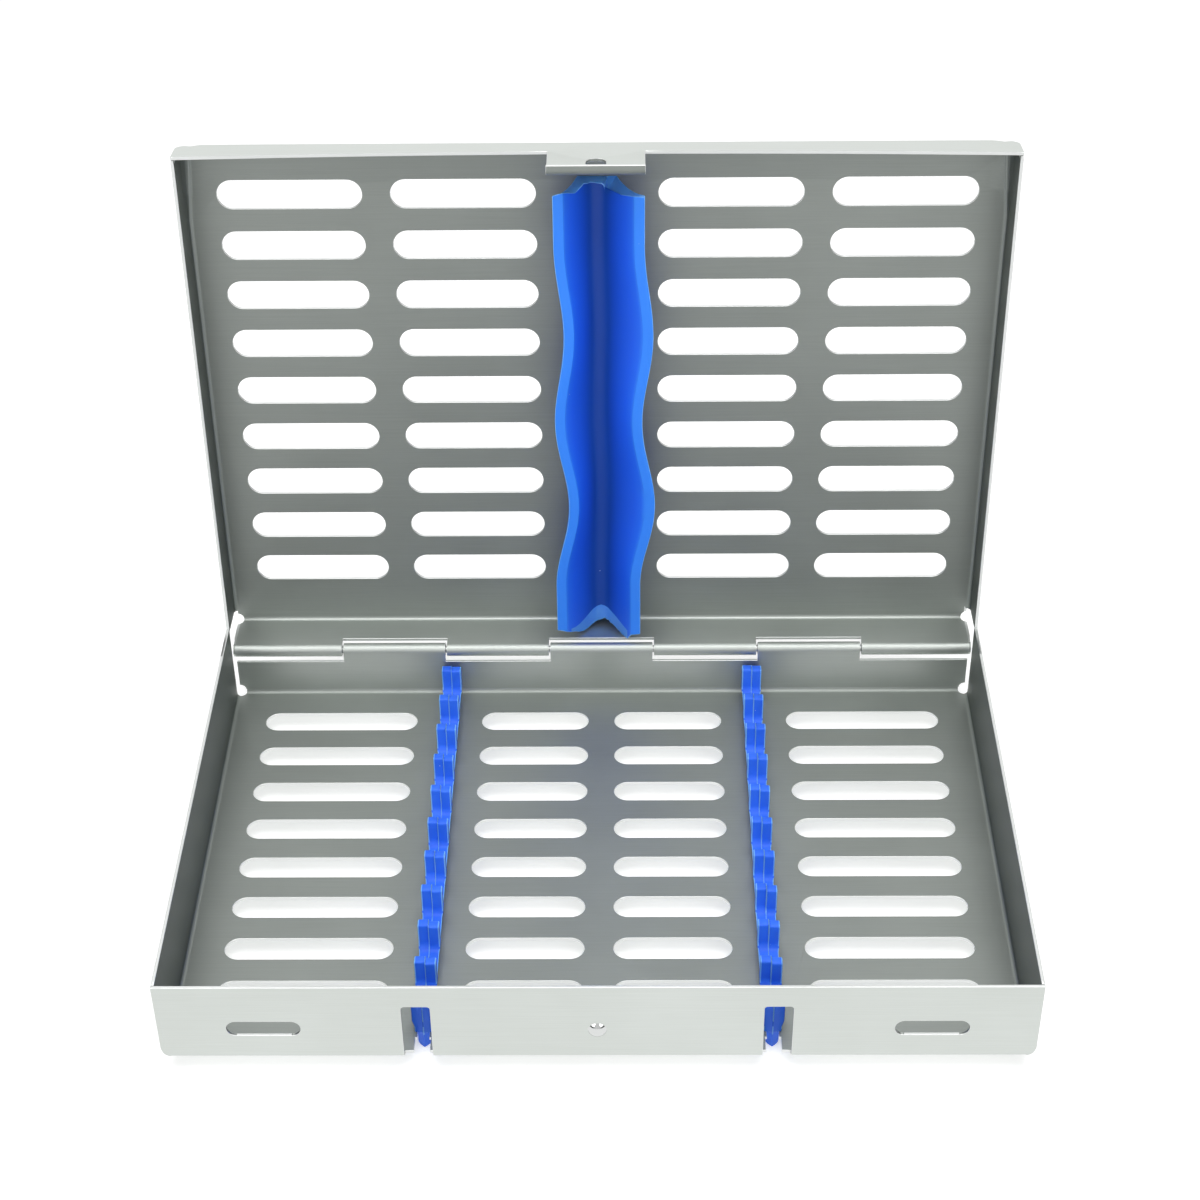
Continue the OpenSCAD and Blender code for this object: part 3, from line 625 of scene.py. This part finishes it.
def build_comb(side, seed):
    """A comb of two halves that miss each other a little, with the bead under the floor."""
    rng = random.Random(seed)
    low, high = comb_at[side]
    middle_x = (low[0] + high[0]) / 2
    bm = bmesh.new()
    comb_side_view(bm)
    line = 0.13 * mm  # half the width of the flash
    misfit = [rng.uniform(0.24, 0.42) * mm * (1.15 - 0.75 * i / notches) for i in range(notches + 1)]
    spikes = [rng.uniform(0.25, 0.95) * mm for _ in range(notches + 1)]
    bmesh.ops.translate(bm, vec=(-comb_half, 0, 0), verts=bm.verts)
    outer_left = bm.verts[:]
    front, inner_left = pull(bm, bm.faces[:], (comb_half - line, 0, 0))
    front, ridge = pull(bm, front, (line, 0, 0))
    front, inner_right = pull(bm, front, (line, 0, 0))
    front, outer_right = pull(bm, front, (comb_half - line, 0, 0))
    bmesh.ops.recalc_face_normals(bm, faces=bm.faces)
    bm.normal_update()
    # Flash: the middle line stands a hair proud, and highest on the front of each tooth's top
    for vert in ridge:
        which, behind_front = tooth_of(vert)
        if vert.co.z > comb_floor + 0.5 * mm:
            outward = Vector((0, vert.normal.y, vert.normal.z))
            if outward.length > 0.1:
                vert.co += outward.normalized() * rng.uniform(0.10, 0.26) * mm
        if vert.co.z > comb_top - 0.25 * mm and behind_front < tooth / 2:
            vert.co.z += spikes[which]
    for half, sign in ((outer_left + inner_left, 1), (inner_right + outer_right, -1)):
        for vert in half:
            standing = min(1.0, max(0.0, (vert.co.z - notch_bottom) / (2 * mm)))
            vert.co.y += sign * misfit[tooth_of(vert)[0]] * standing
    outer = [e for e in bm.edges if all(abs(abs(v.co.x) - comb_half) < 1e-6 for v in e.verts)
             and e.is_manifold and e.calc_face_angle() > math.radians(40)]
    soft = bmesh.ops.bevel(bm, geom=outer, offset=0.3 * mm, offset_type="OFFSET", affect="EDGES", segments=2,
                           profile=0.5, material=-1, clamp_overlap=False)
    # The foot is 19 % narrower than the teeth. It starts to widen 1.7 mm up and is as wide as they are at 3.4
    foot, shoulder = 1.7, 3.4
    for height in (foot, shoulder):
        part_all(bm, (0, 0, comb_floor + height * mm), (0, 0, 1))
    for vert in bm.verts:
        rise = (vert.co.z - comb_floor) / mm
        if rise < shoulder and abs(vert.co.x) > 1.5 * mm:
            vert.co.x *= 1 - 0.19 * min(1.0, (shoulder - rise) / (shoulder - foot))
    # Neck and bead
    neck, bead, neck_height = 1.2 * mm, 1.58 * mm, 1.05 * mm
    for x in (-neck, neck):
        part_all(bm, (x, 0, 0), (1, 0, 0))
    under = [f for f in bm.faces if f.normal.z < -0.9 and abs(f.calc_center_median().x) < neck
             and abs(f.calc_center_median().z - comb_floor) < 0.05 * mm]
    under, _ = pull(bm, under, (0, 0, -neck_height))
    under, ring = pull(bm, under, (0, 0, 0))  # widened below, where it becomes the bead's flat top
    bmesh.ops.scale(bm, vec=(bead / neck, 1, 1), verts=ring)
    pull(bm, under, (0, 0, low[2] - comb_floor + neck_height))
    keel = [e for e in bm.edges if all(abs(v.co.z - low[2]) < 1e-6 and abs(abs(v.co.x) - bead) < 1e-6
                                       for v in e.verts)]
    bmesh.ops.bevel(bm, geom=keel, offset=0.78 * mm, offset_type="OFFSET", affect="EDGES", segments=4,
                    profile=0.5, material=-1, clamp_overlap=False)
    # The front of the bead is nipped to a blunt wedge, so that it finds its slot
    for vert in bm.verts:
        if vert.co.y < comb_y0 + 0.4 * mm and vert.co.z < comb_floor - 0.9 * mm:
            vert.co.y += abs(vert.co.x) * 0.9
    for face in bm.faces:
        face.material_index = BODY
    # The rounded outer edges and the flash line get the lighter edge silicone, which is painted light
    for face in [f for f in soft["faces"] if f.is_valid] + [f for vert in ridge for f in vert.link_faces]:
        face.material_index = LIT_EDGE
    bmesh.ops.translate(bm, vec=(middle_x, 0, 0), verts=bm.verts)
    return bm


for side, seed in (("left", 4), ("right", 9)):
    finish_piece(build_comb(side, seed), "comb_" + side, "strip_" + side,
                 [silicone, silicone_edge_lit], ["base_strip_" + side], 32)

# %% [markdown]
# ## Silicone trough in the lid
#
# The strip in the lid is a long trough with two soft lips. The lips wave from side to side, so that they
# press on the instruments at many places. Seen from the front, the lips are a lighter band with a thin
# bright rim where light comes through, and the bottom of the trough lies in its own shade. Both ends are
# cut by hand.
#
# A cross-section is drawn as two lines, one under the strip and one inside the trough, and a bridge between
# them makes it solid. Pushing that section along the lid in many small steps gives points to wave, and the
# ends are then cut ragged by moving the last points.

# %% Cross-section and sweep of the lid strip
# Half widths and depths over the lid's inside, in mm
TROUGH_UNDER = [(0, 0.03), (2.6, 0.03), (4.95, 0.03), (5.5, 2.2), (6.4, 5.0), (7.6, 8.0), (8.9, 10.2),
                (10.2, 11.5), (11.35, 12.2)]
TROUGH_INSIDE = [(0, 3.2), (1.0, 3.3), (1.65, 3.7), (2.05, 4.05), (2.5, 4.6), (3.4, 5.75), (4.6, 7.3),
                 (5.6, 8.55), (6.6, 9.8), (7.7, 11.1), (8.75, 12.35), (10.1, 12.5), (11.35, 12.6)]
trough_front, trough_rear = 133.15, 4.8  # its ends, from the hinge axis
lip_depth = 12.6


def wave(u):
    """Sideways place of the lips' middle, in mm, at a distance from the hinge axis. The ends run straight."""
    u = min(121.0, max(20.0, u))
    return 1.45 + (2.35 - 0.0115 * u) * math.cos(math.tau * (u - 46) / 50)


def closed_lid_point(x, u, depth):
    """A point of the closed lid, from its place across, from the hinge axis and over the lid's inside."""
    return hinge_at + Vector((x, -u, lid_inside - depth)) * mm


def chain(bm, half):
    """A line of points across the strip, from the left lip to the right one."""
    full = [(-x, d) for x, d in half[:0:-1]] + half
    points = [bm.verts.new(closed_lid_point(x, trough_front, d)) for x, d in full]
    return [bm.edges.new(pair) for pair in zip(points, points[1:])]


bm = bmesh.new()
section = chain(bm, TROUGH_UNDER) + chain(bm, TROUGH_INSIDE)
bmesh.ops.bridge_loops(bm, edges=section)
steps = 96
travel = (trough_front - trough_rear) * mm
bmesh.ops.spin(bm, geom=bm.verts[:] + bm.edges[:] + bm.faces[:], cent=(0, 0, 0), axis=(0, 0, 1),
               dvec=(0, travel / steps, 0), angle=0, steps=steps)
bmesh.ops.recalc_face_normals(bm, faces=bm.faces)
print("trough swept:", len(bm.faces), "faces")

# %% Wave the lips and cut the ends
# Where the cut runs at the front: (x, how far the inside edge lies behind the end)
FRONT_CUT = [(-12, 0.2), (-10.4, -0.4), (-9.1, -1.0), (-7.6, -0.3), (-5.9, 0.8), (-5.1, 0.6), (-4.0, -0.1),
             (-3.3, -0.4), (-2.3, 0.1), (0.7, 0.6), (1.7, 0.9), (2.0, 2.6), (2.4, 2.8), (4.3, 1.9),
             (5.9, 1.1), (7.3, 0.6), (9.2, 0.2), (12, 0.3)]
# At the rear: (x, distance of the end from the hinge axis), and where the knife thinned the strip before it
REAR_CUT = [(-12, 6.2), (-10.8, 6.1), (-9, 5.6), (-6.8, 3.9), (-4.5, 2.2), (-3, 2.6), (-1.2, 3.2), (0.9, 4.0),
            (3.1, 3.5), (5.2, 2.7), (7.5, 2.0), (8.5, 4.2), (9.6, 4.8), (12, 4.7)]
REAR_THINNED = [(-12, 6.5), (-9, 5.9), (-6.1, 5.3), (-4.3, 6.3), (-2.5, 7.5), (-0.2, 8.5), (1.9, 7.9),
                (4.3, 6.9), (7.3, 5.2), (8.6, 4.5), (12, 5.0)]


def read_cut(cut, x):
    """Straight lines between the points of a cut."""
    for (x0, c0), (x1, c1) in zip(cut, cut[1:]):
        if x0 <= x <= x1:
            return c0 + (c1 - c0) * (x - x0) / (x1 - x0)
    return cut[0][1] if x < cut[0][0] else cut[-1][1]


last_but_one = trough_rear + travel / steps / mm  # the last row of points but one
untouched = 13.0  # from here on the sweep's rows stay where they are
rng = random.Random(21)
lip_level = bm.verts.layers.float.new("lip")
for vert in bm.verts:
    spot = (vert.co - hinge_at) / mm
    x, u, depth = spot.x, -spot.y, lid_inside - spot.z
    vert[lip_level] = depth / lip_depth
    inside = depth > 3.1 and abs(x) < (depth - 0.4) * 0.76 + 0.6 or depth > 12.3
    if u > trough_front - 0.1 and inside:
        u -= read_cut(FRONT_CUT, x) + rng.uniform(-0.12, 0.12)
    end, thinned = read_cut(REAR_CUT, x), read_cut(REAR_THINNED, x)
    if u < trough_rear + 0.1:
        u = end + rng.uniform(-0.1, 0.1) if inside else max(trough_rear, end)
    elif u < untouched and inside:
        u = thinned + (u - last_but_one) * (untouched - thinned) / (untouched - last_but_one)
    lean = (depth / lip_depth) ** 1.5
    vert.co = closed_lid_point(x + wave(u) * lean, u, depth)
for face in bm.faces:
    middle = (face.calc_center_median() - hinge_at) / mm
    cut_back = -middle.y < read_cut(REAR_THINNED, middle.x) and lid_inside - middle.z < 11.5
    # Cut faces get the lighter cut silicone, which is painted light
    if abs(face.normal.y) > 0.6 or cut_back:
        face.material_index = CUT_FACE
crease = [e for e in bm.edges if e.is_manifold and e.calc_face_angle() > math.radians(50)]
thin = bmesh.ops.bevel(bm, geom=crease, offset=0.14 * mm, offset_type="OFFSET", affect="EDGES", segments=2,
                       profile=0.5, material=-1, clamp_overlap=False)
# The rims of the lips and the rounds near the ends get the lighter edge silicone, which is painted light
for face in thin["faces"]:
    middle = (face.calc_center_median() - hinge_at) / mm
    if lid_inside - middle.z > 11.5 or not 9.0 < -middle.y < 128.0:
        face.material_index = LIT_EDGE
swing_open(bm)
finish_piece(bm, "lid_trough", "lid", [silicone_trough_shaded, silicone_edge_lit, silicone_cut_lit],
             ["lid_strip"], 34)

# %% [markdown]
# ## Floor, light and camera
#
# The photograph is a studio picture on white: soft light from all round, no hard shadow. The floor is a
# plain pale sheet of paper. The camera and the metal see it white, and everything else sees it as paper, so
# that the object still throws its soft shadow on it. The room is a bright card behind and overhead, with
# dark flags at the sides: they darken the side walls, whose darker finish adds painted shade, and they give
# the steel its shape.

# %% Floor
floor_mat, tree = new_material("paper_floor_white")
path = add(tree, "ShaderNodeLightPath")
paper = add(tree, "ShaderNodeBsdfDiffuse", Color=linear("#f4f4f4"))
glow = add(tree, "ShaderNodeEmission", Color=linear("#ffffff"), Strength=0.31)
white_paper = add(tree, "ShaderNodeEmission", Color=linear("#ffffff"), Strength=1.0)
to_camera = add(tree, "ShaderNodeAddShader", _0=paper.outputs[0], _1=glow.outputs[0])
# Far from the object, where the lamps don't reach, the paper meets the white of the background
place = add(tree, "ShaderNodeTexCoord")
distance = add(tree, "ShaderNodeVectorMath", {"operation": "LENGTH"}, _0=place.outputs["Object"])
far = add(tree, "ShaderNodeMapRange", {"interpolation_type": "SMOOTHSTEP"}, Value=distance.outputs["Value"],
          From_Min=0.25, From_Max=0.80)
seen = add(tree, "ShaderNodeMixShader", _0=far.outputs["Result"], _1=to_camera.outputs[0],
           _2=white_paper.outputs[0])
in_metal = add(tree, "ShaderNodeMath", {"operation": "MAXIMUM"}, _0=path.outputs["Is Glossy Ray"],
               _1=path.outputs["Is Transmission Ray"])
lit = add(tree, "ShaderNodeMixShader", _0=path.outputs["Is Camera Ray"], _1=paper.outputs[0],
          _2=seen.outputs[0])
close_material(tree, add(tree, "ShaderNodeMixShader", _0=in_metal.outputs[0], _1=lit.outputs[0],
                         _2=white_paper.outputs[0]))
bm = bmesh.new()
bmesh.ops.create_circle(bm, cap_ends=True, radius=3.0, segments=64)
floor_mesh = bpy.data.meshes.new("floor")
bm.to_mesh(floor_mesh)
bm.free()
floor_mesh.materials.append(floor_mat)
floor = bpy.data.objects.new("floor", floor_mesh)
bpy.context.scene.collection.objects.link(floor)

# %% World
world = bpy.data.worlds.new("studio")
bpy.context.scene.world = world
world.use_nodes = True
world.node_tree.nodes.clear()
tree = world.node_tree
path = add(tree, "ShaderNodeLightPath")
seen = add(tree, "ShaderNodeMath", {"operation": "MAXIMUM"}, _0=path.outputs["Is Camera Ray"],
           _1=path.outputs["Is Transmission Ray"])
white = add(tree, "ShaderNodeBackground", Color=linear("#ffffff"), Strength=1.0)
# Which way a ray leaves the scene: x to the right, y to the back, z up
way = add(tree, "ShaderNodeSeparateXYZ", Vector=add(tree, "ShaderNodeTexCoord").outputs["Generated"])
aside = add(tree, "ShaderNodeMath", {"operation": "ABSOLUTE"}, _0=way.outputs["X"])
flags = add(tree, "ShaderNodeMapRange", Value=aside.outputs[0], From_Min=0.30, From_Max=0.70, To_Min=1.0,
            To_Max=0.15)
card = add(tree, "ShaderNodeMapRange", Value=way.outputs["Y"], From_Min=0.1, From_Max=0.5, To_Min=0.7,
           To_Max=0.98)
level = add(tree, "ShaderNodeMath", {"operation": "MULTIPLY"}, _0=card.outputs[0], _1=flags.outputs[0])
room = add(tree, "ShaderNodeBackground", Color=linear("#ffffff"), Strength=level.outputs[0])
mixed = add(tree, "ShaderNodeMixShader", _0=seen.outputs[0], _1=room.outputs[0], _2=white.outputs[0])
output = add(tree, "ShaderNodeOutputWorld")
tree.links.new(mixed.outputs[0], output.inputs["Surface"])

# %% Lamps
def softbox(name, at, size, watts):
    """A square area lamp that faces the middle of the cassette."""
    data = bpy.data.lights.new(name, "AREA")
    data.shape = "SQUARE"
    data.size = size
    data.energy = watts
    lamp = bpy.data.objects.new(name, data)
    lamp.location = at
    lamp.rotation_euler = (Vector((0, 0, 0.05)) - Vector(at)).to_track_quat("-Z", "Y").to_euler()
    bpy.context.scene.collection.objects.link(lamp)
    print(name, watts, "W,", size, "m wide")


softbox("softbox_top", (0.0, -0.1, 1.1), 1.0, 8.0)
softbox("softbox_front_left", (-0.8, -0.9, 0.7), 0.7, 4.0)
softbox("softbox_front_right", (0.8, -0.9, 0.7), 0.7, 4.0)

# %% Camera
# Solved from the outlines of the slots in the photograph: 72.5 mm lens, 39 degrees up, turned by less than 1
picture_width, lens_in_pixels, centre_shift = 1200, 2417.1, 135.3
target = hinge_at + Vector((-0.63, -5.14, -26.61)) * mm
camera_distance = 681.0 * mm
up, side, roll = math.radians(39.113), math.radians(0.892), math.radians(-0.73)
back = Vector((math.sin(side) * math.cos(up), -math.cos(side) * math.cos(up), math.sin(up)))
camera_data = bpy.data.cameras.new("camera")
camera_data.sensor_width = 36
camera_data.lens = lens_in_pixels / picture_width * camera_data.sensor_width
camera_data.shift_y = centre_shift / picture_width
camera = bpy.data.objects.new("camera", camera_data)
camera.location = target + back * camera_distance
camera.rotation_euler = ((-back).to_track_quat("-Z", "Y") @ Quaternion((0, 0, 1), roll)).to_euler()
bpy.context.scene.collection.objects.link(camera)
bpy.context.scene.camera = camera
print("camera at", [round(v, 3) for v in camera.location], "lens", round(camera_data.lens, 1))

# %% Settings
bpy.context.scene.view_settings.view_transform = "Standard"
